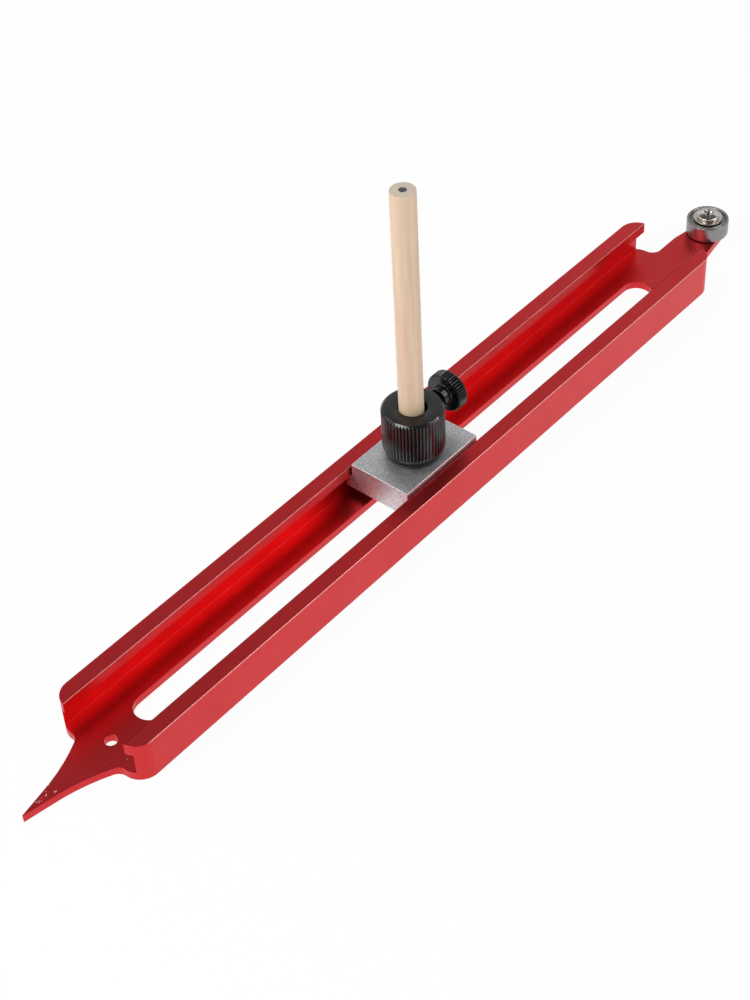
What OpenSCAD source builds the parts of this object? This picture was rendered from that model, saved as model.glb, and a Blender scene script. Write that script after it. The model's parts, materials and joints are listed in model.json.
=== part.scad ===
// Contour scribing tool.
// A channel with a scribing point at one end and a guide bearing at the other.
// A slider runs in the channel and holds a pencil in a knurled clamp barrel.
// Origin: middle of the channel's underside. +X runs from the point to the bearing, +Z up.

/* [Channel] */
// Length of the walls and lips
channel_l = 248; // [244:2:320]
// Width over the two walls
channel_w = 30; // [28:0.5:36]
// Height over the lips
channel_h = 12.5; // [12:0.5:16]
// Thickness of the base plate
base_t = 2.4; // [1.8:0.1:2.8]
// Thickness of each wall
wall_t = 2.5; // [1.5:0.1:3]
// Distance that each lip reaches in from its wall
lip_reach = 2.14; // [1.5:0.1:2.6]
// Thickness of each lip
lip_t = 3.4; // [2.5:0.1:3.6]
// Radius of the four corners, seen from above
corner_r = 5.5; // [4:0.25:5.5]
// Width of the broken edges
edge_break = 0.3; // [0.1:0.1:0.5]

/* [Slot] */
// Overall length of the pencil slot
slot_l = 220; // [180:2:224]
// Width of the pencil slot
slot_w = 9; // [8.6:0.1:10]

/* [Scribing point] */
// Width of the plate where the point starts
point_root_w = 12.9; // [10:0.1:13]
// Angle of each flank at the root of the point
point_root_angle = 27; // [20:1:32]
// Angle of each flank at the tip
point_tip_angle = 10.5; // [9.5:0.5:14]
// Radius of the flare between those two angles
point_flare_r = 54; // [45:1:56]
// Radius of the tip itself
point_tip_r = 0.2; // [0.1:0.05:0.4]
// Radius of the inside corners, where point and arm leave the channel
root_fillet_r = 3; // [2:0.25:3]
// Diameter of the pivot hole
pivot_d = 3.4; // [2:0.2:5]
// Distance from the channel's end in to the pivot hole's centre
pivot_inset = 4.5; // [4:0.5:7]

/* [Bearing arm] */
// Width of the arm
arm_w = 12.3; // [11:0.1:12.8]
// Length of the arm's parallel part
arm_straight_l = 11; // [6:0.5:13]
// Distance from the channel's end out to the bearing's axis
arm_reach = 19.8; // [17:0.1:24]
// Radius of the arm's round end
arm_end_r = 4.7; // [4:0.1:5]

/* [Slider] */
// Resting place of the slider along the channel
slider_x = -1; // [-60:0.1:60]
// Length of the slider block
block_l = 30; // [26:0.2:40]
// Distance that the block stands above the lips
block_rise = 1.2; // [0.5:0.1:3]
// Thickness of the block's flanges, which run under the lips
flange_t = 4; // [3:0.1:4.2]
// Gap between the block's neck and each lip
neck_clear = 0.5; // [0.2:0.05:1]
// Gap between each flange and its wall
flange_clear = 0.3; // [0.1:0.05:0.5]
// Gap between the flanges and the lips above them
lip_clear = 0.1; // [0.05:0.05:0.2]

/* [Clamp barrel] */
// Diameter of the barrel over its knurl
barrel_d = 17.4; // [16:0.2:18.4]
// Height of the barrel
barrel_h = 15.5; // [14.5:0.5:20]
// Gap between the barrel and the block
seat_gap = 0.2; // [0.1:0.05:0.5]
// Height of the plain collar at the bottom
collar_h = 1.2; // [0.8:0.1:2]
// Diameter of that collar
collar_d = 16; // [15.2:0.2:16]
// Height of the undercut between the collar and the knurl
undercut_h = 1.1; // [0.5:0.1:1.5]
// Diameter of that undercut
undercut_d = 15; // [14.2:0.2:15]
// Height of the plain band above the knurl
top_band_h = 1.1; // [0.9:0.1:2]
// Height of the bevel round the top
top_bevel = 0.7; // [0.4:0.1:0.8]
// Number of grooves in the barrel's knurl
barrel_knurls = 54; // [40:1:54]
// Diameter of the bore for the pencil
barrel_bore_d = 8.1; // [7.6:0.1:8.3]
// Diameter of the hollow threaded shank
shank_d = 12; // [10.8:0.2:13]
// Gap between the shank and the channel's floor
jack_clear = 0.1; // [0.05:0.05:0.3]

/* [Thumb screw] */
// Height of the screw's axis above the bottom of the barrel
thumb_height = 11; // [9:0.5:11.5]
// Diameter of the threaded stud
stud_d = 4; // [3:0.5:5]
// Length of stud that shows between the barrel and the hub
stud_show = 1.7; // [1:0.1:4]
// Diameter of the knob's hub
hub_d = 6; // [5.6:0.2:9]
// Length of the knob's hub
hub_l = 2.7; // [2:0.1:5]
// Diameter of the knurled disc
disc_d = 11.7; // [10.4:0.1:16]
// Thickness of the knurled disc
disc_t = 3.5; // [3:0.1:5]
// Number of grooves in the disc's knurl
disc_knurls = 36; // [24:1:36]

/* [Pencil] */
// Diameter of the pencil
pencil_d = 6.9; // [6:0.1:7.2]
// Length of the pencil from tip to top
pencil_l = 99.4; // [60:0.2:180]
// Length of the sharpened cone, measured to its apex
cone_l = 17; // [12:0.5:22]
// Diameter of the lead
lead_d = 2.2; // [1.8:0.1:3]
// Radius of the blunt end of the lead
lead_tip_r = 0.25; // [0.1:0.05:0.4]
// Height of the lead's tip above the underside
tip_lift = 0.3; // [0.1:0.1:3]

/* [Guide bearing] */
// Outer diameter of the bearing
bearing_d = 13; // [12.6:0.1:14]
// Width of the bearing
bearing_t = 5; // [4.6:0.1:6]
// Bore of the bearing
bearing_bore_d = 4; // [3.6:0.1:4.2]
// Diameter of each ball
ball_d = 2.38; // [2.2:0.02:2.4]
// Diameter of the circle through the balls' centres
ball_circle_d = 8.5; // [8.4:0.05:8.6]
// Number of balls
balls = 7; // [7:1:7]
// Thickness of the washer under the bearing
spacer_t = 0.2; // [0.2:0.1:1.5]
// Outer diameter of the washer under the bearing
spacer_d = 6.1; // [5.6:0.1:6.3]
// Outer diameter of the washer on top of the bearing
washer_d = 9; // [8:0.1:9.4]
// Thickness of the washer on top of the bearing
washer_t = 0.5; // [0.5:0.1:1.2]

/* [Bearing screw] */
// Diameter of the screw's head
head_d = 7; // [6:0.1:8]
// Height of the screw's head
head_h = 1.6; // [1.4:0.1:3.2]
// Height of the head's straight rim
head_rim_h = 0.5; // [0.4:0.1:0.6]
// Length of each bar of the cross recess
recess_l = 3.8; // [3:0.1:4.4]
// Width of each bar of the cross recess
recess_w = 0.9; // [0.7:0.05:1.1]
// Depth of the cross recess
recess_depth = 1.2; // [0.8:0.1:1.3]

/* [Hidden] */
$fn = 96;
eps = 0.5;
// Overlap of two curves that run smoothly into each other
lap = 0.005;

// Radial play of a thread or shaft that turns in its hole
turn_play = 0.05;
// Gap between the pencil and the far side of its bore, and between the pencil and the stud
pencil_play = 0.1;
stud_play = 0.05;
// Play between the screw and what it clamps
screw_play = 0.05;

half_l = channel_l / 2;
half_w = channel_w / 2;
lip_under = channel_h - lip_t;
lip_inner = half_w - wall_t - lip_reach;

// Scribing point, in distances from the channel's end (s) and from the centreline
point_fillet = [root_fillet_r, point_root_w / 2 + root_fillet_r];
root_normal = [sin(point_root_angle), cos(point_root_angle)];
tip_normal = [sin(point_tip_angle), cos(point_tip_angle)];
flare_start = point_fillet - (root_fillet_r - lap) * root_normal;
flare_centre = flare_start + point_flare_r * root_normal;
flare_end = flare_centre - (point_flare_r - lap) * tip_normal;
point_apex = flare_end[0] + flare_end[1] / tan(point_tip_angle);
point_tip_centre = point_apex - point_tip_r / sin(point_tip_angle);
point_tip_touch = [point_tip_centre, 0] + (point_tip_r - lap) * tip_normal;

// Bearing arm, in the same way
arm_fillet = [root_fillet_r, arm_w / 2 + root_fillet_r];
taper_start = [arm_straight_l, arm_w / 2];
taper_run = arm_reach - arm_straight_l;
taper_angle = atan(taper_start[1] / taper_run) - asin(arm_end_r / norm([taper_run, taper_start[1]]));
taper_end = [arm_reach + arm_end_r * sin(taper_angle), arm_end_r * cos(taper_angle)];
bearing_x = half_l + arm_reach;

// Slider block
flange_top = lip_under - lip_clear;
block_bottom = flange_top - flange_t;
block_top = channel_h + block_rise;
flange_half_w = half_w - wall_t - flange_clear;
neck_half_w = lip_inner - neck_clear;

// Clamp barrel and thumb screw
barrel_z = block_top + seat_gap;
barrel_top = barrel_z + barrel_h;
shank_bottom = base_t + jack_clear;
thumb_z = barrel_z + thumb_height;
knurl_pitch = 1.0;
knurl_groove_r = 0.34 * knurl_pitch;
bore_bevel = 0.5;
hub_x = barrel_d / 2 + stud_show;
disc_x = hub_x + hub_l;
disc_end = disc_x + disc_t;
disc_bevel = 0.5;
stud_seat = 1;

// Pencil, pressed against the side of its bore away from the thumb screw
pencil_x = -(barrel_bore_d / 2 - pencil_d / 2 - pencil_play);
stud_tip = pencil_x + pencil_d / 2 + stud_play;
cone_slope = pencil_d / 2 / cone_l;
lead_cone_top = lead_d / 2 / cone_slope;
lead_blunt = lead_tip_r / cone_slope;
pencil_apex = tip_lift - lead_blunt;
pencil_top = tip_lift + pencil_l;

// Bearing
bearing_z = base_t + spacer_t;
bearing_mid = bearing_z + bearing_t / 2;
ball_r = ball_d / 2;
ball_ring_r = ball_circle_d / 2;
race_play = 0.05;
groove_r = ball_r + race_play;
inner_shoulder_r = ball_ring_r - ball_r + 0.34;
outer_shoulder_r = ball_ring_r + ball_r - 0.29;
shield_outer_r = bearing_d / 2 - 0.9;
shield_inset = 0.3;
shield_t = 0.4;
shield_play = 0.15;
inner_land_r = inner_shoulder_r - 0.35;
ring_bevel = 0.3;
cage_wall = 0.9;
cage_play = 0.06;
cage_rim = 0.3;
cage_top = 0.5;

// Bearing screw
screw_r = bearing_bore_d / 2 - screw_play;
head_z = bearing_z + bearing_t + washer_t;
head_dome_h = head_h - head_rim_h;
head_dome_r = (pow(head_d / 2, 2) + pow(head_dome_h, 2)) / (2 * head_dome_h);
screw_tip = 0.1;

// Half an outline, closed by its own mirror image: flip is [1, -1] about X and [-1, 1] about Y
module mirrored_outline(points, flip) {
    back = [for (i = [len(points) - 1:-1:0]) [points[i][0] * flip[0], points[i][1] * flip[1]]];
    polygon(concat(points, back));
}

module both_sides(flip) {
    children();
    mirror(flip) children();
}

// Round bar along Z with a bevel at one or both ends
module bevelled_profile(r, h, bottom_bevel, top_bevel) {
    polygon([
        [0, 0], [r - bottom_bevel, 0], [r, bottom_bevel], [r, h - top_bevel], [r - top_bevel, h], [0, h]
    ]);
}

// Grooved disc outline, as cut by a straight knurl
module knurled_outline(r, count) {
    difference() {
        circle(r = r);
        for (i = [0:count - 1])
            rotate(i * 360 / count) translate([r, 0]) circle(r = knurl_groove_r);
    }
}

module channel_outline() {
    square([channel_l - 2 * corner_r, channel_w], center = true);
    square([channel_l, channel_w - 2 * corner_r], center = true);
    for (sx = [-1, 1], sy = [-1, 1])
        translate([sx * (half_l - corner_r), sy * (half_w - corner_r)]) circle(r = corner_r);
}

module point_outline() {
    difference() {
        mirrored_outline([
            [-corner_r, point_fillet[1]], [0, point_fillet[1]],
            flare_start, flare_end, point_tip_touch
        ], [1, -1]);
        both_sides([0, 1]) {
            translate(point_fillet) circle(r = root_fillet_r);
            intersection() {
                translate(flare_centre) circle(r = point_flare_r, $fn = 720);
                translate([flare_start[0], 0]) square([point_flare_r, half_w]);
            }
        }
    }
    translate([point_tip_centre, 0]) circle(r = point_tip_r);
}

module arm_outline() {
    difference() {
        mirrored_outline([
            [-corner_r, arm_fillet[1]], [0, arm_fillet[1]],
            [root_fillet_r, arm_w / 2], taper_start, taper_end
        ], [1, -1]);
        both_sides([0, 1]) translate(arm_fillet) circle(r = root_fillet_r);
    }
    translate([arm_reach, 0]) circle(r = arm_end_r);
}

module slot_outline() {
    square([slot_l - slot_w, slot_w], center = true);
    for (sx = [-1, 1]) translate([sx * (slot_l - slot_w) / 2, 0]) circle(d = slot_w);
}

// Cross-section of the two walls with their lips, with y to the right and z up
module wall_section() {
    both_sides([1, 0]) polygon([
        [half_w, base_t - eps], [half_w, channel_h - edge_break], [half_w - edge_break, channel_h],
        [lip_inner + edge_break, channel_h], [lip_inner, channel_h - edge_break],
        [lip_inner, lip_under], [half_w - wall_t, lip_under], [half_w - wall_t, base_t - eps]
    ]);
}

module along_x(length) {
    rotate([90, 0, 90]) linear_extrude(height = length, center = true) children();
}

module channel_body() {
    color("firebrick") difference() {
        union() {
            linear_extrude(height = base_t) {
                channel_outline();
                translate([-half_l, 0]) mirror([1, 0]) point_outline();
                translate([half_l, 0]) arm_outline();
            }
            intersection() {
                along_x(channel_l) wall_section();
                linear_extrude(height = channel_h + eps) channel_outline();
            }
        }
        translate([0, 0, -eps]) linear_extrude(height = base_t + 2 * eps) slot_outline();
        translate([-half_l + pivot_inset, 0, -eps]) cylinder(d = pivot_d, h = base_t + 2 * eps);
        translate([bearing_x, 0, -eps]) cylinder(d = bearing_bore_d, h = base_t + 2 * eps);
    }
}

// Cross-section of the block: a neck between the lips and a flange under each of them
module block_section() {
    mirrored_outline([
        [flange_half_w - edge_break, block_bottom],
        [flange_half_w, block_bottom + edge_break], [flange_half_w, flange_top],
        [neck_half_w, flange_top], [neck_half_w, block_top - edge_break],
        [neck_half_w - edge_break, block_top]
    ], [-1, 1]);
}

module slider_block() {
    color("silver") difference() {
        translate([slider_x, 0, 0]) along_x(block_l) block_section();
        translate([slider_x, 0, block_bottom - eps])
            cylinder(r = shank_d / 2 + turn_play, h = block_top - block_bottom + 2 * eps);
    }
}

module clamp_barrel() {
    barrel_r = barrel_d / 2;
    undercut_z = barrel_z + collar_h;
    knurl_z = undercut_z + undercut_h;
    band_z = barrel_top - top_band_h;
    color("#1c1c1e") translate([slider_x, 0, 0]) difference() {
        union() {
            translate([0, 0, shank_bottom]) rotate_extrude()
                bevelled_profile(shank_d / 2, barrel_z - shank_bottom + eps, edge_break, 0);
            translate([0, 0, barrel_z]) rotate_extrude()
                bevelled_profile(collar_d / 2, collar_h, edge_break, edge_break);
            translate([0, 0, undercut_z - eps]) cylinder(d = undercut_d, h = undercut_h + 2 * eps);
            translate([0, 0, knurl_z]) linear_extrude(height = band_z - knurl_z)
                knurled_outline(barrel_r, barrel_knurls);
            translate([0, 0, band_z]) rotate_extrude()
                bevelled_profile(barrel_r, top_band_h, 0, top_bevel);
        }
        translate([0, 0, shank_bottom - eps])
            cylinder(d = barrel_bore_d, h = barrel_top - shank_bottom + 2 * eps);
        translate([0, 0, barrel_top - bore_bevel])
            cylinder(r1 = barrel_bore_d / 2, r2 = barrel_bore_d / 2 + bore_bevel + eps, h = bore_bevel + eps);
        translate([0, 0, thumb_z]) rotate([0, 90, 0])
            cylinder(r = stud_d / 2 + turn_play, h = barrel_d);
    }
}

// The knob's own axis is X, through the middle of the barrel
module on_thumb_axis(x) {
    translate([slider_x + x, 0, thumb_z]) rotate([0, 90, 0]) children();
}

module thumb_stud() {
    stud_l = disc_end - stud_seat - stud_tip;
    color("#2a2a2c") on_thumb_axis(stud_tip) rotate_extrude()
        bevelled_profile(stud_d / 2, stud_l, edge_break, edge_break);
}

module thumb_knob() {
    color("#1c1c1e") difference() {
        union() {
            on_thumb_axis(hub_x) rotate_extrude()
                bevelled_profile(hub_d / 2, hub_l + eps, edge_break, 0);
            on_thumb_axis(disc_x) intersection() {
                linear_extrude(height = disc_t) knurled_outline(disc_d / 2, disc_knurls);
                rotate_extrude() bevelled_profile(disc_d / 2, disc_t, disc_bevel, disc_bevel);
            }
        }
        on_thumb_axis(hub_x - eps) cylinder(
            r = stud_d / 2 + turn_play, h = disc_end - stud_seat + turn_play - hub_x + eps
        );
    }
}

module pencil_wood() {
    cone_top = pencil_apex + cone_l;
    color("burlywood") translate([slider_x + pencil_x, 0, 0]) rotate_extrude() polygon([
        [lead_d / 2, pencil_apex + lead_cone_top], [pencil_d / 2, cone_top],
        [pencil_d / 2, pencil_top - edge_break], [pencil_d / 2 - edge_break, pencil_top],
        [lead_d / 2, pencil_top]
    ]);
}

module pencil_lead() {
    color("#3a3a3e") translate([slider_x + pencil_x, 0, 0]) rotate_extrude() polygon([
        [0, tip_lift], [lead_tip_r, tip_lift], [lead_d / 2, pencil_apex + lead_cone_top],
        [lead_d / 2, pencil_top], [0, pencil_top]
    ]);
}

module on_bearing_axis(z) {
    translate([bearing_x, 0, z]) children();
}

// Square with two corners broken, from r0 out to r1, centred on z = 0
module ring_profile(r0, r1, h, bevel) {
    polygon([
        [r0, -h / 2], [r1 - bevel, -h / 2], [r1, -h / 2 + bevel],
        [r1, h / 2 - bevel], [r1 - bevel, h / 2], [r0, h / 2]
    ]);
}

module bearing_outer_ring() {
    race_h = bearing_t - 2 * (shield_inset + shield_t);
    color("dimgray") on_bearing_axis(bearing_mid) rotate_extrude() difference() {
        ring_profile(outer_shoulder_r, bearing_d / 2, bearing_t, ring_bevel);
        translate([ball_ring_r, 0]) circle(r = groove_r);
        for (s = [-1, 1]) translate([0, s * (race_h + bearing_t) / 2])
            square([2 * shield_outer_r, bearing_t], center = true);
    }
}

module bearing_inner_ring() {
    race_h = bearing_t - 2 * (shield_inset + shield_t + shield_play);
    color("dimgray") on_bearing_axis(bearing_mid) rotate_extrude() difference() {
        union() {
            translate([bearing_bore_d / 2, -bearing_t / 2])
                square([inner_land_r - bearing_bore_d / 2, bearing_t]);
            translate([bearing_bore_d / 2, -race_h / 2])
                square([inner_shoulder_r - bearing_bore_d / 2, race_h]);
        }
        translate([ball_ring_r, 0]) circle(r = groove_r);
    }
}

module bearing_cage() {
    rim_z = -ball_r - cage_play - cage_rim;
    color("goldenrod") on_bearing_axis(bearing_mid) difference() {
        translate([0, 0, rim_z]) difference() {
            cylinder(r = ball_ring_r + cage_wall / 2, h = cage_top - rim_z);
            translate([0, 0, -eps])
                cylinder(r = ball_ring_r - cage_wall / 2, h = cage_top - rim_z + 2 * eps);
        }
        for (i = [1:balls]) at_ball(i) sphere(r = ball_r + cage_play);
    }
}

module at_ball(i) {
    rotate(360 / balls * (i - 1)) translate([ball_ring_r, 0, 0]) children();
}

module bearing_ball(i) {
    color("lightgray") on_bearing_axis(bearing_mid) at_ball(i) sphere(r = ball_r);
}

module bearing_shield(side) {
    shield_z = side * (bearing_t / 2 - shield_inset - shield_t / 2);
    color("gray") on_bearing_axis(bearing_mid + shield_z) difference() {
        cylinder(r = shield_outer_r, h = shield_t, center = true);
        cylinder(r = inner_land_r + shield_play, h = shield_t + eps, center = true);
    }
}

module washer(r, h) {
    rotate_extrude() translate([0, h / 2]) ring_profile(bearing_bore_d / 2, r, h, h / 5);
}

module spacer_washer() {
    color("silver") on_bearing_axis(base_t) washer(spacer_d / 2, spacer_t);
}

module screw_washer() {
    color("silver") on_bearing_axis(head_z - washer_t) washer(washer_d / 2, washer_t);
}

module bearing_screw() {
    color("silver") on_bearing_axis(0) difference() {
        union() {
            translate([0, 0, screw_tip]) rotate_extrude()
                bevelled_profile(screw_r, head_z + eps - screw_tip, edge_break, 0);
            translate([0, 0, head_z]) rotate_extrude() intersection() {
                translate([0, head_h - head_dome_r]) circle(r = head_dome_r);
                square([head_d / 2, head_h]);
            }
        }
        for (a = [0, 90]) rotate(a) translate([0, 0, head_z + head_h])
            cube([recess_l, recess_w, 2 * recess_depth], center = true);
    }
}

channel_body();
slider_block();
clamp_barrel();
thumb_stud();
thumb_knob();
pencil_wood();
pencil_lead();
bearing_outer_ring();
bearing_inner_ring();
bearing_cage();
bearing_shield(-1);  // bearing_shield_bottom
bearing_shield(1);  // bearing_shield_top
spacer_washer();
screw_washer();
bearing_screw();
for (i = [1:balls])
    bearing_ball(i);
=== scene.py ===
"""Looks of the contour scribing tool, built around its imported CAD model.

Metres, in the CAD model's own frame: the channel lies along X with the scribing point at -X and
the guide bearing at +X, and the pencil stands along Z. Each piece takes its place and its outer
sizes from the box of the CAD node that it replaces.
"""
import bpy
import bmesh
import json
import math
from mathutils import Matrix, Vector


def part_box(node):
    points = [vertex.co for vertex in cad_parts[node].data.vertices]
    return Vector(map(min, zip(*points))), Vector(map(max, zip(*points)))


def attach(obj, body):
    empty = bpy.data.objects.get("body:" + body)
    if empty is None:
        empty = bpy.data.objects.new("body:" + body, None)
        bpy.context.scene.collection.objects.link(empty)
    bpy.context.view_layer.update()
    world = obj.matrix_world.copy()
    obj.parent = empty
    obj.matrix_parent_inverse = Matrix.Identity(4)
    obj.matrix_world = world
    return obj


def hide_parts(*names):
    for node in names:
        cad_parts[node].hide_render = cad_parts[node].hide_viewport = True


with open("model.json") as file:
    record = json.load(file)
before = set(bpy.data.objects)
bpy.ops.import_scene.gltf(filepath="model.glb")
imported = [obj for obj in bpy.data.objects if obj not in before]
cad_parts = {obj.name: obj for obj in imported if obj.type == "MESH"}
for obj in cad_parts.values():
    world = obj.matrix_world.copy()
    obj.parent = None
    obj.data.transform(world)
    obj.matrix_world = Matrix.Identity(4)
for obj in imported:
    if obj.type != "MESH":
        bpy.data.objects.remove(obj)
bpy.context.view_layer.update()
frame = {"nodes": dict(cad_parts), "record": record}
CAD = frame["nodes"]
BODY_OF = {
    node: body
    for body, nodes in frame["record"]["behaviour"]["bodies"].items()
    for node in nodes
}
SLOT_OF = {part["node"]: part["material_slot"] for part in frame["record"]["subparts"]}
MM = 0.001
FULL_TURN = 2 * math.pi

# Sizes of the CAD channel and block that their boxes don't tell
PLATE_TOP = 2.4 * MM
WALL_TOP = 12.5 * MM
WALL_FACE = -15 * MM
LIP_FACE = 10.36 * MM
CAD_BEVEL = 0.3 * MM


# Node trees

# Most of a noise's values lie between these
NOISE_LOW = 0.3
NOISE_HIGH = 0.7

# A Mix node's sockets for colours, by their number, because its other kinds have the same names
MIX_FIRST = 6
MIX_SECOND = 7
MIX_RESULT = 2


class Nodes:
    """A node tree under construction, with the texture coordinates that it reads, if any."""

    def __init__(self, tree, coordinates=None):
        self.tree = tree
        if coordinates:
            self.place = self.add("ShaderNodeTexCoord").outputs[coordinates]

    def add(self, kind, **settings):
        node = self.tree.nodes.new(kind)
        for setting, value in settings.items():
            setattr(node, setting, value)
        return node

    def link(self, source, target):
        self.tree.links.new(source, target)

    def feed(self, target, value):
        """Gives a socket a number, a colour of three numbers, or another socket's value."""
        if isinstance(value, (int, float)):
            target.default_value = value
        elif isinstance(value, tuple):
            target.default_value = (*value, 1)
        else:
            self.link(value, target)

    def ramp(self, value, *stops):
        """A colour ramp over (position, colour) stops."""
        node = self.add("ShaderNodeValToRGB")
        elements = node.color_ramp.elements
        while len(elements) < len(stops):
            elements.new(0.5)
        for element, (position, colour) in zip(elements, stops):
            element.position = position
            element.color = (*colour, 1)
        self.link(value, node.inputs["Fac"])
        return node.outputs["Color"]

    def span(self, value, low, high, start=0.0, end=1.0, smooth=False):
        """value between low and high, carried to between start and end."""
        node = self.add("ShaderNodeMapRange")
        if smooth:
            node.interpolation_type = "SMOOTHSTEP"
        self.link(value, node.inputs["Value"])
        for socket, number in (
            ("From Min", low), ("From Max", high), ("To Min", start), ("To Max", end),
        ):
            node.inputs[socket].default_value = number
        return node.outputs["Result"]

    def maths(self, operation, *values):
        node = self.add("ShaderNodeMath", operation=operation)
        for target, value in zip(node.inputs, values):
            self.feed(target, value)
        return node.outputs["Value"]

    def mix(self, share, first, second):
        """Two colours mixed by share. A colour is a socket or three numbers."""
        node = self.add("ShaderNodeMix", data_type="RGBA")
        self.link(share, node.inputs["Factor"])
        self.feed(node.inputs[MIX_FIRST], first)
        self.feed(node.inputs[MIX_SECOND], second)
        return node.outputs[MIX_RESULT]

    def axis(self, letter):
        """One of the coordinates."""
        node = self.add("ShaderNodeSeparateXYZ")
        self.link(self.place, node.inputs["Vector"])
        return node.outputs[letter]


class Surface(Nodes):
    """A material under construction, on the object's own coordinates, in metres."""

    def __init__(self, name, **sockets):
        self.material = bpy.data.materials.new(name)
        self.material.use_nodes = True
        super().__init__(self.material.node_tree, "Object")
        self.bsdf = self.tree.nodes["Principled BSDF"]
        for socket, value in sockets.items():
            self.bsdf.inputs[socket].default_value = value

    def stretched(self, scale, shift=(0, 0, 0)):
        """The object's coordinates, scaled along each axis."""
        node = self.add("ShaderNodeMapping")
        node.inputs["Scale"].default_value = scale
        node.inputs["Location"].default_value = shift
        self.link(self.place, node.inputs["Vector"])
        return node.outputs["Vector"]

    def noise(self, feature, detail=2, roughness=0.5, where=None, distortion=0):
        """Noise whose features are that size, in metres, or in units of where."""
        node = self.add("ShaderNodeTexNoise")
        node.inputs["Scale"].default_value = 1 / feature
        node.inputs["Detail"].default_value = detail
        node.inputs["Roughness"].default_value = roughness
        node.inputs["Distortion"].default_value = distortion
        self.link(self.place if where is None else where, node.inputs["Vector"])
        return node.outputs["Fac"]

    def varied(self, noise, start, end):
        """A noise carried to between start and end."""
        return self.span(noise, NOISE_LOW, NOISE_HIGH, start, end)

    def tones(self, noise, dark, light):
        """Two colours shared out by a noise."""
        return self.ramp(noise, (NOISE_LOW, dark), (NOISE_HIGH, light))

    def spot(self, centre, radius, wobble):
        """1 within that radius of a place and 0 outside it, with an edge moved by wobble."""
        node = self.add("ShaderNodeVectorMath", operation="DISTANCE")
        self.link(self.place, node.inputs[0])
        node.inputs[1].default_value = centre
        away = self.maths("ADD", node.outputs["Value"], wobble)
        return self.span(away, 0.7 * radius, radius, 1, 0)

    def edge_line(self, y, z, width):
        """1 along the edge that runs along X at that y and z, fading out within that width."""
        off_y = self.maths("ABSOLUTE", self.maths("SUBTRACT", self.axis("Y"), y))
        off_z = self.maths("ABSOLUTE", self.maths("SUBTRACT", self.axis("Z"), z))
        return self.span(self.maths("MAXIMUM", off_y, off_z), 0.5 * width, width, 1, 0)

    def drive(self, socket, value):
        self.link(value, self.bsdf.inputs[socket])

    def bumps(self, *layers):
        """Relief from (height, depth in metres) layers."""
        normal = None
        for height, depth in layers:
            node = self.add("ShaderNodeBump")
            node.inputs["Strength"].default_value = 1
            node.inputs["Distance"].default_value = depth
            self.link(height, node.inputs["Height"])
            if normal is not None:
                self.link(normal, node.inputs["Normal"])
            normal = node.outputs["Normal"]
        self.drive("Normal", normal)


# Materials

# Chips in the dye near the scribing point: x, y and radius in millimetres
CHIPS = (
    (-139.3, -0.8, 0.34), (-138.9, -0.95, 0.20), (-141.5, 0.0, 0.28), (-141.1, 0.25, 0.18),
    (-143.7, 0.1, 0.20), (-144.3, 0.35, 0.16), (-143.2, -0.25, 0.15), (-142.6, 0.35, 0.12),
    (-144.0, -0.15, 0.13), (-140.6, 1.0, 0.16), (-138.7, 1.9, 0.15), (-125.6, -6.3, 0.14),
    (-121.4, -7.4, 0.13),
)


def chip_marks(s):
    """1 in the chips, 0 elsewhere."""
    ragged = 0.12 * MM
    wobble = s.varied(s.noise(0.35 * MM, 2, 0.6), -ragged, ragged)
    marks = None
    for x, y, radius in CHIPS:
        spot = s.spot((x * MM, y * MM, PLATE_TOP), radius * MM, wobble)
        marks = spot if marks is None else s.maths("MAXIMUM", marks, spot)
    return marks


def scratch_mark(s):
    """A faint line on the bearing's arm, a little off the direction of X."""
    slant = -0.066
    offset = 11.6 * MM
    strength = 0.35
    slanted = s.maths("ADD", s.axis("Y"), s.maths("MULTIPLY", s.axis("X"), slant))
    off_line = s.maths("ABSOLUTE", s.maths("ADD", slanted, offset))
    begun = s.span(s.axis("X"), 113 * MM, 117 * MM)
    not_ended = s.span(s.axis("X"), 133 * MM, 129 * MM)
    line = s.span(off_line, 0.05 * MM, 0.16 * MM, strength, 0)
    return s.maths("MULTIPLY", s.maths("MULTIPLY", begun, not_ended), line)


def painted_edge_highlights(s):
    """Where a painted highlight lies along the two long upper edges that face -Y, towards the
    camera.
    """
    width = 0.26 * MM
    outer = s.edge_line(WALL_FACE, WALL_TOP, width)
    inner = s.edge_line(LIP_FACE, WALL_TOP, width)
    return s.maths("MULTIPLY", s.maths("MAXIMUM", outer, inner), 0.8)


def red_anodised():
    """Blasted and dyed aluminium: scratched on the arm, chipped at the point, with a painted
    highlight along two upper edges.
    """
    s = Surface("red_anodised", Metallic=1.0)
    dye = s.tones(s.noise(9 * MM, 3), (0.625, 0.034, 0.038), (0.675, 0.040, 0.045))
    grain = s.noise(0.30 * MM, 3, 0.65)
    dyed = s.mix(s.span(grain, 0.35, 0.75, 0.0, 0.30), dye, (0.52, 0.026, 0.031))
    scratched = s.mix(scratch_mark(s), dyed, (0.80, 0.30, 0.28))
    # Painted highlight: pale pink along the two upper edges that face -Y
    edge_highlighted = s.mix(painted_edge_highlights(s), scratched, (0.86, 0.40, 0.38))
    chips = chip_marks(s)
    s.drive("Base Color", s.mix(chips, edge_highlighted, (0.80, 0.56, 0.52)))
    smudge = s.varied(s.noise(14 * MM, 4, 0.6), -0.02, 0.03)
    s.drive("Roughness", s.maths("ADD", smudge, s.varied(grain, 0.31, 0.38)))
    s.bumps((grain, 0.006 * MM), (chips, -0.05 * MM))
    return s.material


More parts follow.
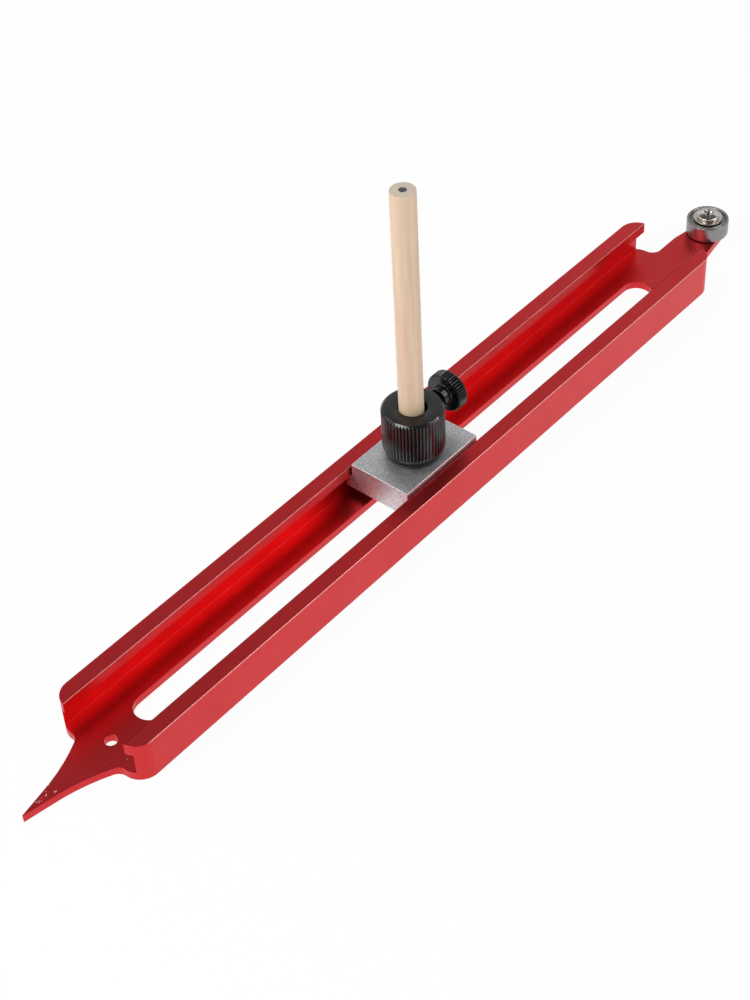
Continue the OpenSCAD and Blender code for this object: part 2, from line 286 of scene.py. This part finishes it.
def blasted_aluminium():
    """Silver aluminium with the fine grain of bead blasting."""
    s = Surface("blasted_aluminium", Metallic=1.0)
    grain = s.noise(0.30 * MM, 2, 0.75)
    s.drive("Base Color", s.ramp(
        grain, (0.34, (0.43, 0.43, 0.445)), (0.52, (0.75, 0.745, 0.76)), (0.68, (0.96, 0.95, 0.97)),
    ))
    s.drive("Roughness", s.varied(s.noise(3 * MM, 3), 0.44, 0.52))
    s.bumps((grain, 0.022 * MM))
    return s.material


def black_anodised():
    """Aluminium dyed black, almost glossy and a little uneven."""
    s = Surface("black_anodised", IOR=1.5)
    patches = s.noise(0.6 * MM, 3)
    s.drive("Base Color", s.tones(patches, (0.0030, 0.0030, 0.0035), (0.0060, 0.0056, 0.0060)))
    s.drive("Roughness", s.varied(s.noise(1.6 * MM, 4, 0.6), 0.12, 0.18))
    s.bumps((s.noise(0.25 * MM, 2), 0.002 * MM))
    return s.material


def black_steel():
    """Oiled black oxide on a rolled thread."""
    s = Surface("black_steel", Metallic=1.0)
    s.drive("Base Color", s.ramp(
        s.noise(0.6 * MM, 3), (0.3, (0.012, 0.012, 0.013)), (0.75, (0.035, 0.033, 0.032)),
    ))
    s.drive("Roughness", s.varied(s.noise(0.9 * MM, 2), 0.42, 0.55))
    s.bumps((s.noise(0.1 * MM, 2), 0.004 * MM))
    return s.material


def bare_wood():
    """Plain sanded pencil wood, darker and yellower just above the barrel, with its end grain open
    on top.
    """
    s = Surface("bare_wood")
    streaks = s.noise(0.30 * MM, 4, 0.65, s.stretched((1, 1, 0.035)))
    bands = s.noise(1.7 * MM, 2, 0.5, s.stretched((1, 1, 0.05)), 0.4)
    pores = s.noise(0.16 * MM, 2, 0.5, s.stretched((1, 1, 0.06), (3 * MM, 0, 0)))
    tone = s.ramp(
        bands,
        (0.28, (0.67, 0.485, 0.345)), (0.5, (0.73, 0.545, 0.395)), (0.72, (0.77, 0.59, 0.435)),
    )
    streaked = s.mix(s.span(streaks, 0.42, 0.68, 0, 0.30), tone, (0.58, 0.40, 0.27))
    pored = s.mix(s.span(pores, 0.62, 0.74, 0, 0.28), streaked, (0.44, 0.29, 0.19))
    # A darker, yellower tone low down, just above the barrel
    low_down = s.span(s.axis("Z"), 34 * MM, 30 * MM, 0, 0.9)
    low_tint_share = s.maths("MULTIPLY", low_down, s.varied(bands, 0.5, 1.0))
    low_tinted = s.mix(low_tint_share, pored, (0.62, 0.49, 0.30))
    on_end = s.span(s.axis("Z"), 99.5 * MM, 99.66 * MM)
    end_grain = s.tones(s.noise(0.35 * MM, 3, 0.7), (0.42, 0.35, 0.28), (0.66, 0.57, 0.47))
    s.drive("Base Color", s.mix(on_end, low_tinted, end_grain))
    s.drive("Roughness", s.varied(streaks, 0.55, 0.72))
    s.bumps((streaks, 0.02 * MM), (pores, -0.01 * MM))
    return s.material


def graphite():
    """Pressed graphite, slightly shiny where it was cut."""
    s = Surface("graphite", Metallic=0.35)
    s.drive("Base Color", s.ramp(
        s.noise(0.3 * MM, 3), (0.3, (0.035, 0.035, 0.042)), (0.75, (0.12, 0.12, 0.135)),
    ))
    s.drive("Roughness", s.varied(s.noise(0.2 * MM, 2), 0.32, 0.55))
    s.bumps((s.noise(0.15 * MM, 2), 0.01 * MM))
    return s.material


def ground_steel(name, dark, light, roughness):
    """Steel ground while it turned: fine lines at one height each, and a little patchy tone."""
    s = Surface(name, Metallic=1.0)
    lines = s.noise(0.05 * MM, 2, 0.6, s.stretched((0.02, 0.02, 1)))
    patches = s.noise(1.6 * MM, 3, 0.6)
    s.drive("Base Color", s.tones(patches, dark, light))
    s.drive("Roughness", s.varied(patches, roughness - 0.04, roughness + 0.06))
    s.bumps((lines, 0.0012 * MM))
    return s.material


def pressed_metal(name, dark, light, roughness):
    """Sheet or headed metal: soft tone changes and faint dents."""
    s = Surface(name, Metallic=1.0)
    s.drive("Base Color", s.tones(s.noise(1.1 * MM, 3, 0.6), dark, light))
    s.drive("Roughness", s.varied(s.noise(0.4 * MM, 2), roughness, roughness + 0.08))
    s.bumps((s.noise(0.5 * MM, 2), 0.004 * MM))
    return s.material


MATERIALS = {
    "red_anodised": red_anodised(),
    "blasted_aluminium": blasted_aluminium(),
    "black_anodised": black_anodised(),
    "black_steel": black_steel(),
    "pencil_wood": bare_wood(),
    "graphite": graphite(),
    "bearing_steel": ground_steel(
        "bearing_steel", (0.235, 0.225, 0.225), (0.315, 0.305, 0.305), 0.36,
    ),
}
for slot, darker, lighter, smoothest in (
    ("shield_steel", (0.22, 0.21, 0.20), (0.31, 0.30, 0.29), 0.34),
    ("zinc_steel", (0.42, 0.39, 0.34), (0.56, 0.53, 0.46), 0.18),
    ("nickel_steel", (0.50, 0.46, 0.43), (0.66, 0.62, 0.58), 0.07),
    ("ball_steel", (0.70, 0.70, 0.71), (0.80, 0.80, 0.81), 0.05),
    ("cage_brass", (0.62, 0.42, 0.17), (0.78, 0.58, 0.27), 0.22),
):
    MATERIALS[slot] = pressed_metal(slot, darker, lighter, smoothest)


# Mesh helpers

# Angles in degrees above which an edge is sharp
PLAIN_CREASE = 32
KNURL_CREASE = 28
THREAD_CREASE = 60
PENCIL_CREASE = 50
SCREW_CREASE = 40
CUTTER_CREASE = 30


def finish_mesh(name, bm, crease):
    """An object from bm, smooth but for the edges sharper than crease, in degrees."""
    bmesh.ops.recalc_face_normals(bm, faces=bm.faces)
    mesh = bpy.data.meshes.new(name)
    bm.to_mesh(mesh)
    bm.free()
    mesh.shade_smooth()
    mesh.set_sharp_from_angle(angle=math.radians(crease))
    piece = bpy.data.objects.new(name, mesh)
    bpy.context.scene.collection.objects.link(piece)
    return piece


def apply_modifiers(piece):
    """Writes the modifiers' result into the piece's own mesh."""
    graph = bpy.context.evaluated_depsgraph_get()
    made = bpy.data.meshes.new_from_object(piece.evaluated_get(graph))
    old = piece.data
    piece.modifiers.clear()
    piece.data = made
    bpy.data.meshes.remove(old)


def stand_for(piece, node):
    """Puts the piece in the CAD node's place, with its body and its finish."""
    piece.data.materials.clear()
    piece.data.materials.append(MATERIALS[SLOT_OF[node]])
    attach(piece, BODY_OF[node])
    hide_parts(node)


def softened(node, name, width):
    """The CAD node's own shape, with its upper bevels squared off and every edge rounded."""
    bm = bmesh.new()
    bm.from_mesh(CAD[node].data)
    top = max(vertex.co.z for vertex in bm.verts)
    for vertex in bm.verts:
        if vertex.co.z > top - 1.03 * CAD_BEVEL:
            vertex.co.z = top
    bmesh.ops.remove_doubles(bm, verts=bm.verts, dist=0.0005 * MM)
    flat = math.radians(0.4)
    bmesh.ops.dissolve_limit(bm, angle_limit=flat, verts=bm.verts, edges=bm.edges)
    piece = finish_mesh(name, bm, PLAIN_CREASE)
    bevel = piece.modifiers.new("edges", "BEVEL")
    bevel.width = width
    bevel.segments = 3
    bevel.limit_method = "ANGLE"
    bevel.angle_limit = math.radians(PLAIN_CREASE)
    bevel.use_clamp_overlap = False
    bevel.harden_normals = True
    apply_modifiers(piece)
    stand_for(piece, node)


def rounded(corners, steps=4):
    """A closed profile from (radius, height, rounding) corners, as a list of points."""
    points = []
    for i, (radius, height, rounding) in enumerate(corners):
        corner = Vector((radius, height))
        before = Vector(corners[i - 1][:2]) - corner
        after = Vector(corners[(i + 1) % len(corners)][:2]) - corner
        if rounding == 0 or before.length == 0 or after.length == 0:
            points.append(corner)
            continue
        half = before.angle(after) / 2
        reach = rounding / math.tan(half)
        inward = (before.normalized() + after.normalized()).normalized()
        centre = corner + inward * rounding / math.sin(half)
        first = corner + before.normalized() * reach - centre
        sweep = first.angle_signed(corner + after.normalized() * reach - centre)
        for k in range(steps + 1):
            spoke = first.copy()
            spoke.rotate(Matrix.Rotation(-sweep * k / steps, 2))
            points.append(centre + spoke)
    return points


def lathe(name, profile, around, crease, radius_at=None):
    """A solid turned about Z from a profile of (radius, height) points.

    radius_at(radius, height, turn) may change the radius round the axis, as a knurl or a thread
    does. A profile that starts at radius 0 is open there, and any other is a closed ring.
    """
    bm = bmesh.new()
    rings = []
    for radius, height in profile:
        ring_verts = []
        for k in range(around):
            turn = FULL_TURN * k / around
            r = radius if radius_at is None else radius_at(radius, height, turn)
            ring_verts.append(bm.verts.new((r * math.cos(turn), r * math.sin(turn), height)))
        rings.append(ring_verts)
    closing = [] if profile[0][0] == 0 else rings[:1]
    for low, high in zip(rings, rings[1:] + closing):
        for k in range(around):
            m = (k + 1) % around
            bm.faces.new((low[k], low[m], high[m], high[k]))
    bmesh.ops.remove_doubles(bm, verts=bm.verts, dist=0.0002 * MM)
    return finish_mesh(name, bm, crease)


def move_mesh(piece, matrix):
    piece.data.transform(matrix)
    piece.data.update()


def middle(node):
    low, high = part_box(node)
    return (low + high) / 2


def upright(piece, centre, node):
    """Stands a turned piece on the vertical axis through centre, for the CAD node."""
    move_mesh(piece, Matrix.Translation((centre.x, centre.y, 0)))
    stand_for(piece, node)


def sideways(piece, node):
    """Lays a turned piece along X, from the -X end of the CAD node that it stands for."""
    low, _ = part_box(node)
    centre = middle(node)
    foot = Matrix.Translation((low.x, centre.y, centre.z))
    move_mesh(piece, foot @ Matrix.Rotation(math.pi / 2, 4, "Y"))
    stand_for(piece, node)


def groove_share(phase, steepness, crest):
    """How deep a groove is at that phase of its pitch, from 0 on the crest to 1 at its bottom."""
    return min(1.0, max(0.0, steepness * (1 - abs(2 * (phase % 1) - 1)) - crest))


def knurl(count, depth, outer, low):
    """A straight knurl above height low: count grooves of that depth on radius outer."""
    reach = 1.5 * depth

    def radius_at(radius, height, turn):
        if radius < outer - reach or height < low:
            return radius
        return min(radius, outer - depth * groove_share(turn * count / FULL_TURN, 1.5, 0.42))

    return radius_at


# Pieces

def channel():
    softened("channel_body", "channel", 0.14 * MM)


def slider():
    softened("slider_block", "slider", 0.16 * MM)


def barrel():
    """Knurled clamp barrel on its collar, with an undercut between and its hollow shank below."""
    low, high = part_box("clamp_barrel")
    outer = (high.x - low.x) / 2
    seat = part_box("slider_block")[1].z + 0.2 * MM
    bore = 4.05 * MM
    chamfer = 0.2 * MM
    shank = 6.0 * MM
    collar = 8.0 * MM
    collar_rim = seat + 0.45 * MM
    undercut = 7.5 * MM
    undercut_low = seat + 1.2 * MM
    knurl_low = undercut_low + 1.1 * MM
    lead_in = 0.3 * MM
    bevel = 0.7 * MM
    bevel_low = high.z - bevel
    grooves = 54
    profile = rounded([
        (bore, low.z, 0.2 * MM), (shank, low.z, 0.3 * MM), (shank, seat, 0),
        (collar, seat, 0.22 * MM), (collar, collar_rim, 0.1 * MM),
        (undercut, undercut_low, 0.1 * MM), (undercut, knurl_low, 0.1 * MM),
        (outer - lead_in, knurl_low, 0),
    ])
    profile += [(outer, knurl_low + lead_in), (outer, bevel_low)]
    # The bevel has rings of its own, so that the grooves run out on it
    profile += [(outer - bevel * k / 8, bevel_low + bevel * k / 8) for k in range(1, 6)]
    profile += rounded([
        (outer - bevel * 0.75, bevel_low + bevel * 0.75, 0), (outer - bevel, high.z, 0.12 * MM),
        (bore + chamfer, high.z, 0.06 * MM), (bore, high.z - chamfer, 0.06 * MM),
        (bore, low.z + 1 * MM, 0),
    ])
    cut = knurl(grooves, 0.42 * MM, outer, knurl_low)
    piece = lathe("clamp_barrel_turned", profile, grooves * 12, KNURL_CREASE, cut)
    upright(piece, middle("clamp_barrel"), "clamp_barrel")


def knob():
    """Knurled thumb knob with its hub, and a shallow dish in its face."""
    low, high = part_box("thumb_knob")
    length = high.x - low.x
    outer = (high.z - low.z) / 2
    disc = length - 3.5 * MM
    hub = 3.0 * MM
    bore = 2.05 * MM
    bore_end = length - 0.9 * MM
    bevel = 0.4 * MM
    dish = 0.3 * MM
    dish_side = 0.35 * MM
    grooves = 44
    profile = rounded([
        (0, bore_end, 0), (bore, bore_end, 0), (bore, 0, 0.2 * MM), (hub, 0, 0.3 * MM),
        (hub, disc, 0.4 * MM), (outer - bevel, disc, 0.1 * MM), (outer, disc + bevel, 0.08 * MM),
        (outer, length - bevel, 0.08 * MM), (outer - bevel, length, 0.1 * MM),
        (hub, length, 0.1 * MM), (hub - dish_side, length - dish, 0.1 * MM), (0, length - dish, 0),
    ])
    cut = knurl(grooves, 0.50 * MM, outer, disc)
    piece = lathe("thumb_knob_turned", profile, grooves * 12, KNURL_CREASE, cut)
    sideways(piece, "thumb_knob")


def stud():
    """Thumb screw's stud with its rolled thread."""
    low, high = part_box("thumb_stud")
    length = high.x - low.x
    outer = (high.z - low.z) / 2
    pitch = 0.7 * MM
    depth = 0.40 * MM
    point_bevel = 0.5 * MM
    head_bevel = 0.4 * MM
    rows_per_pitch = 10
    rows = round(length / pitch * rows_per_pitch)
    profile = [(0, 0), (outer - point_bevel, 0)]
    profile += [(outer, length * k / rows) for k in range(1, rows)]
    profile += [(outer - head_bevel, length), (0, length)]

    def radius_at(radius, height, turn):
        if radius < outer:
            return radius
        cut = depth * groove_share(height / pitch - turn / FULL_TURN, 1.25, 0.1)
        from_end = min(height, length - height)
        return min(radius - cut, outer - point_bevel + from_end)

    piece = lathe("thumb_stud_threaded", profile, 64, THREAD_CREASE, radius_at)
    sideways(piece, "thumb_stud")


def pencil():
    """Wooden body, cut to a cone below and sanded flat on top, and the lead through it."""
    low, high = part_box("pencil_wood")
    lead_low, lead_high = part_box("pencil_lead")
    centre = middle("pencil_wood")
    radius = (high.x - low.x) / 2
    core = (lead_high.x - lead_low.x) / 2
    lead_top = lead_high.z - 0.06 * MM
    cone = 17 * MM
    blunted = 1.23 * MM
    tip = radius / cone * blunted
    cone_top = lead_low.z - blunted + cone
    wood = rounded([
        (core, low.z, 0), (radius, cone_top, 0.3 * MM), (radius, high.z, 0.3 * MM),
        (core, high.z, 0),
    ])
    upright(lathe("pencil_body", wood, 96, PENCIL_CREASE), centre, "pencil_wood")
    lead = rounded([
        (0, lead_low.z, 0), (tip, lead_low.z, 0.1 * MM), (core, low.z, 0),
        (core, lead_top, 0.05 * MM), (0, lead_top, 0),
    ])
    upright(lathe("pencil_core", lead, 48, PENCIL_CREASE), centre, "pencil_lead")


def ring(node, name, corners):
    """A turned ring, with its corners' heights measured from the CAD node's underside."""
    low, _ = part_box(node)
    profile = rounded([(r, h + low.z, f) for r, h, f in corners])
    upright(lathe(name, profile, 128, PLAIN_CREASE), middle(node), node)


# An upper shield's section: radius in millimetres, share of its thickness, rounding in millimetres
SHIELD_SECTION = (
    (3.2, 0.0, 0.05), (3.2, 0.6, 0.05), (3.6, 0.6, 0.12), (3.85, 1.0, 0.12),
    (4.95, 1.0, 0.12), (5.15, 0.55, 0.1), (5.58, 0.55, 0.05), (5.58, 0.0, 0.03),
)


def bearing():
    """Outer and inner rings, shields and washers of the guide bearing."""
    low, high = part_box("bearing_outer_ring")
    outer = (high.x - low.x) / 2
    tall = high.z - low.z
    seat = 5.6 * MM
    shoulder = 5.15 * MM
    shelf = 0.7 * MM
    lip = seat + 0.18 * MM
    lip_height = 0.2 * MM
    ring("bearing_outer_ring", "bearing_outer_turned", [
        (outer, 0, 0.32 * MM), (outer, tall, 0.32 * MM), (lip, tall, 0.1 * MM),
        (seat, tall - lip_height, 0.05 * MM), (seat, tall - shelf, 0),
        (shoulder, tall - shelf, 0.05 * MM), (shoulder, shelf, 0.05 * MM), (seat, shelf, 0),
        (seat, lip_height, 0.05 * MM), (lip, 0, 0.1 * MM),
    ])
    bore = 2.0 * MM
    land = 3.05 * MM
    land_height = 0.85 * MM
    race = 3.3 * MM
    ring("bearing_inner_ring", "bearing_inner_turned", [
        (bore, 0, 0.15 * MM), (land, 0, 0.12 * MM), (land, land_height, 0.05 * MM),
        (race, land_height, 0.05 * MM), (race, tall - land_height, 0.05 * MM),
        (land, tall - land_height, 0.05 * MM), (land, tall, 0.12 * MM), (bore, tall, 0.15 * MM),
    ])
    for node, name, upper in (
        ("bearing_shield_top", "shield_top_pressed", True),
        ("bearing_shield_bottom", "shield_bottom_pressed", False),
    ):
        shield_low, shield_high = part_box(node)
        thick = shield_high.z - shield_low.z
        ring(node, name, [
            (r * MM, thick * (share if upper else 1 - share), f * MM)
            for r, share, f in SHIELD_SECTION
        ])
    for node, name in (
        ("screw_washer", "screw_washer_pressed"), ("spacer_washer", "spacer_washer_pressed"),
    ):
        washer_low, washer_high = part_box(node)
        thick = washer_high.z - washer_low.z
        edge = 0.3 * thick
        rim = (washer_high.x - washer_low.x) / 2
        ring(node, name, [(bore, 0, edge), (rim, 0, edge), (rim, thick, edge), (bore, thick, edge)])


def cutter(name, size, taper):
    """A bar that narrows below, used to cut one arm of the screw's cross recess."""
    bm = bmesh.new()
    bmesh.ops.create_cube(bm, size=1)
    for vertex in bm.verts:
        narrow = taper if vertex.co.z < 0 else 1.0
        x, y, z = vertex.co
        vertex.co = (x * size[0] * narrow, y * size[1] * (0.5 + narrow / 2), z * size[2])
    return finish_mesh(name, bm, CUTTER_CREASE)


def screw():
    """Bearing screw: domed head with a cross recess, and its shank down through the arm."""
    low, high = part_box("bearing_screw")
    centre = middle("bearing_screw")
    head = (high.x - low.x) / 2
    head_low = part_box("screw_washer")[1].z
    head_bevel = 0.3 * MM
    head_bevel_top = head_low + 0.35 * MM
    shoulder = high.z - 0.5 * MM
    shank = 1.95 * MM
    crown = 1.6 * MM
    profile = rounded([
        (0, low.z, 0), (shank, low.z, 0.25 * MM), (shank, head_low, 0),
        (head - head_bevel, head_low, 0.05 * MM), (head, head_bevel_top, 0.1 * MM),
        (head, shoulder, 0.42 * MM), (crown, high.z, 0.8 * MM), (0, high.z, 0),
    ], 8)
    piece = lathe("bearing_screw_headed", profile, 96, SCREW_CREASE)
    move_mesh(piece, Matrix.Translation((centre.x, centre.y, 0)))
    top = Matrix.Translation((centre.x, centre.y, high.z))
    arm = (4.4 * MM, 1.15 * MM, 2.4 * MM)
    taper = 0.5
    tools = []
    for k, degrees in enumerate((33, 123)):
        tool = cutter(f"recess_tool_{k}", arm, taper)
        move_mesh(tool, top @ Matrix.Rotation(math.radians(degrees), 4, "Z"))
        tools.append(tool)
        cut = piece.modifiers.new(f"recess_{k}", "BOOLEAN")
        cut.operation = "DIFFERENCE"
        cut.solver = "EXACT"
        cut.object = tool
    apply_modifiers(piece)
    for tool in tools:
        bpy.data.objects.remove(tool)
    stand_for(piece, "bearing_screw")


def hidden_bearing_parts():
    """The balls and their cage keep their CAD shape, under the shields."""
    for node, part in CAD.items():
        if node.startswith("bearing_ball") or node == "bearing_cage":
            part.data.materials.clear()
            part.data.materials.append(MATERIALS[SLOT_OF[node]])
            part.data.shade_smooth()


# Studio

# Grey levels of the sky by height, from the horizon at 0 to overhead at 1
SKY_BEHIND_CAMERA = ((0.0, 0.9), (0.15, 0.50), (0.45, 0.22), (1.0, 0.18))
SKY_AHEAD = (
    (0.0, 0.55), (0.35, 0.70), (0.51, 0.95), (0.60, 0.88), (0.65, 0.68), (0.70, 0.42),
    (0.76, 0.17), (1.0, 0.08),
)
AHEAD = (0.74, 0.67, 0)
WHITE = (1, 1, 1)

# Soft lamps: name, direction from the tool, distance and size in metres, watts
SOFTBOXES = (
    ("key_box", (-0.74, 0.03, 0.67), 0.75, (0.50, 0.18), 2.6),
    ("left_box", (-0.54, 0.49, 0.69), 0.8, (0.8, 0.6), 2.0),
    ("right_box", (0.38, -0.50, 0.78), 0.8, (0.48, 0.40), 1.55),
    ("edge_strip", (0.48, -0.73, 0.49), 0.9, (0.50, 0.10), 1.2),
)


def softbox(name, toward, distance, size, watts):
    """A rectangular soft lamp that shines on the middle of the tool from that direction."""
    data = bpy.data.lights.new(name, "AREA")
    data.shape = "RECTANGLE"
    data.size, data.size_y = size
    data.energy = watts
    lamp = bpy.data.objects.new(name, data)
    direction = Vector(toward).normalized()
    lamp.location = direction * distance
    lamp.rotation_mode = "QUATERNION"
    lamp.rotation_quaternion = direction.to_track_quat("Z", "Y")
    bpy.context.scene.collection.objects.link(lamp)


def sky():
    """Plain white to the camera, and to the tool a grey sky that is bright low down or ahead."""
    world = bpy.data.worlds.new("studio")
    bpy.context.scene.world = world
    world.use_nodes = True
    n = Nodes(world.node_tree, "Generated")
    height = n.axis("Z")
    behind, ahead = (
        n.ramp(height, *((position, (level, level, level)) for position, level in stops))
        for stops in (SKY_BEHIND_CAMERA, SKY_AHEAD)
    )
    facing = n.add("ShaderNodeVectorMath", operation="DOT_PRODUCT")
    n.link(n.place, facing.inputs[0])
    facing.inputs[1].default_value = AHEAD
    light = n.mix(n.span(facing.outputs["Value"], 0.0, 0.5, smooth=True), behind, ahead)
    ray = n.add("ShaderNodeLightPath").outputs
    shown = n.mix(ray["Is Camera Ray"], light, WHITE)
    n.link(shown, n.tree.nodes["Background"].inputs["Color"])


def floor():
    """A white floor, bright to the camera and in reflections, that keeps a faint shadow."""
    bpy.ops.mesh.primitive_circle_add(vertices=128, radius=6, fill_type="NGON", location=(0, 0, 0))
    disc = bpy.context.object
    disc.name = "floor"
    material = bpy.data.materials.new("floor")
    material.use_nodes = True
    n = Nodes(material.node_tree)
    bsdf = n.tree.nodes["Principled BSDF"]
    bsdf.inputs["Base Color"].default_value = (0.9, 0.9, 0.9, 1)
    bsdf.inputs["Roughness"].default_value = 0.9
    glow = n.add("ShaderNodeEmission")
    glow_share = 0.94
    ray = n.add("ShaderNodeLightPath").outputs
    seen = n.maths("MAXIMUM", ray["Is Camera Ray"], ray["Is Glossy Ray"])
    seen = n.maths("MAXIMUM", seen, ray["Is Transmission Ray"])
    mix = n.add("ShaderNodeMixShader")
    n.link(n.maths("MULTIPLY", seen, glow_share), mix.inputs["Fac"])
    n.link(bsdf.outputs[0], mix.inputs[1])
    n.link(glow.outputs[0], mix.inputs[2])
    n.link(mix.outputs[0], n.tree.nodes["Material Output"].inputs["Surface"])
    disc.data.materials.append(material)


def camera():
    """The photograph's viewpoint: where it stands, which way it looks and how long its lens is."""
    azimuth, elevation, roll = (math.radians(a) for a in (-47.6141, 43.3424, -3.3593))
    place = Vector((-0.319033, -0.274666, 0.392161))
    back = Vector((
        math.sin(azimuth) * math.cos(elevation),
        -math.cos(azimuth) * math.cos(elevation),
        math.sin(elevation),
    ))
    right = (-back).cross(Vector((0, 0, 1))).normalized()
    up = right.cross(-back)
    tilted_right = right * math.cos(roll) + up * math.sin(roll)
    tilted_up = up * math.cos(roll) - right * math.sin(roll)
    data = bpy.data.cameras.new("camera")
    data.sensor_fit = "AUTO"
    data.sensor_width = 36
    data.lens = 74.4854
    data.clip_start = 0.01
    data.clip_end = 50
    shot = bpy.data.objects.new("camera", data)
    pose = Matrix((tilted_right, tilted_up, back)).transposed().to_4x4()
    pose.translation = place
    shot.matrix_world = pose
    bpy.context.scene.collection.objects.link(shot)
    bpy.context.scene.camera = shot


camera()
sky()
floor()
for box in SOFTBOXES:
    softbox(*box)

channel()
slider()
barrel()
knob()
stud()
pencil()
bearing()
screw()
hidden_bearing_parts()

bpy.context.scene.view_settings.view_transform = "Standard"
